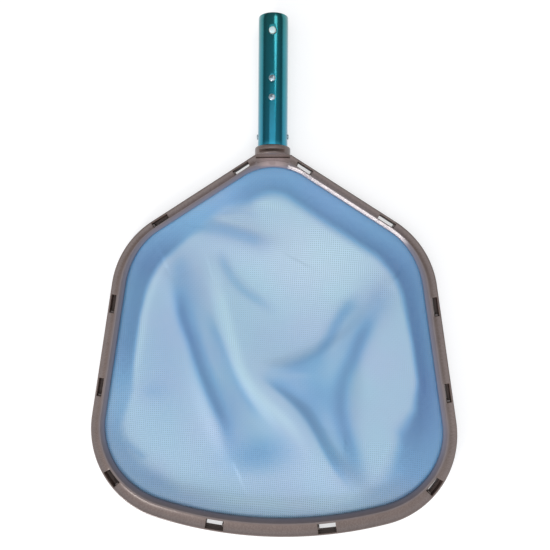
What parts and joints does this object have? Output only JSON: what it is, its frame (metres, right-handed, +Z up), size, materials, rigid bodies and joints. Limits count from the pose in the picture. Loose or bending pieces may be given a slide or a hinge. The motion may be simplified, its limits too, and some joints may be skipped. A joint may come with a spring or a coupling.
{
  "type": "leaf skimmer net",
  "caption": "Flat pool leaf skimmer: a shallow mesh net clamped by its corded edge in a snap-together moulded frame, with a short riveted handle tube and a spring-button pole clip.",
  "frame": {"origin": "middle of the whole length and width, on the plane that the frame and collar lie on", "axes": "+Z up out of the net's mouth, +Y along the handle towards its open end, +X to the right seen from above with the handle away"},
  "size_m": [0.3558, 0.4998, 0.034],
  "materials": {
    "frame_plastic": "satin moulded grey-brown polypropylene",
    "net_mesh": "fine light-blue knitted polyester mesh",
    "net_cord": "blue braided edge cord",
    "tube_anodised": "glossy teal anodised aluminium",
    "rivet_aluminium": "bare aluminium",
    "clip_steel": "spring steel strip",
    "button_nylon": "natural nylon"
  },
  "bodies": {
    "frame": {"frame_lower": "frame_plastic", "frame_upper": "frame_plastic", "net": "net_mesh", "net_edge_cord": "net_cord", "handle_tube": "tube_anodised", "pop_rivet_1": "rivet_aluminium", "pop_rivet_2": "rivet_aluminium", "side_rivet": "rivet_aluminium", "clip_bow": "clip_steel"},
    "clip_upper": {"clip_arm_upper": "clip_steel", "button_upper": "button_nylon"},
    "clip_lower": {"clip_arm_lower": "clip_steel", "button_lower": "button_nylon"}
  },
  "joints": [
    {"name": "upper_button_press", "type": "hinge", "parent": "frame", "child": "clip_upper", "pos_m": [0, 0.20105, 0.02845], "axis": [-1, 0, 0], "range_deg": [0, 5], "stiffness_Nm_per_rad": 3},
    {"name": "lower_button_press", "type": "hinge", "parent": "frame", "child": "clip_lower", "pos_m": [0, 0.20105, 0.00555], "axis": [1, 0, 0], "range_deg": [0, 5], "stiffness_Nm_per_rad": 3}
  ]
}
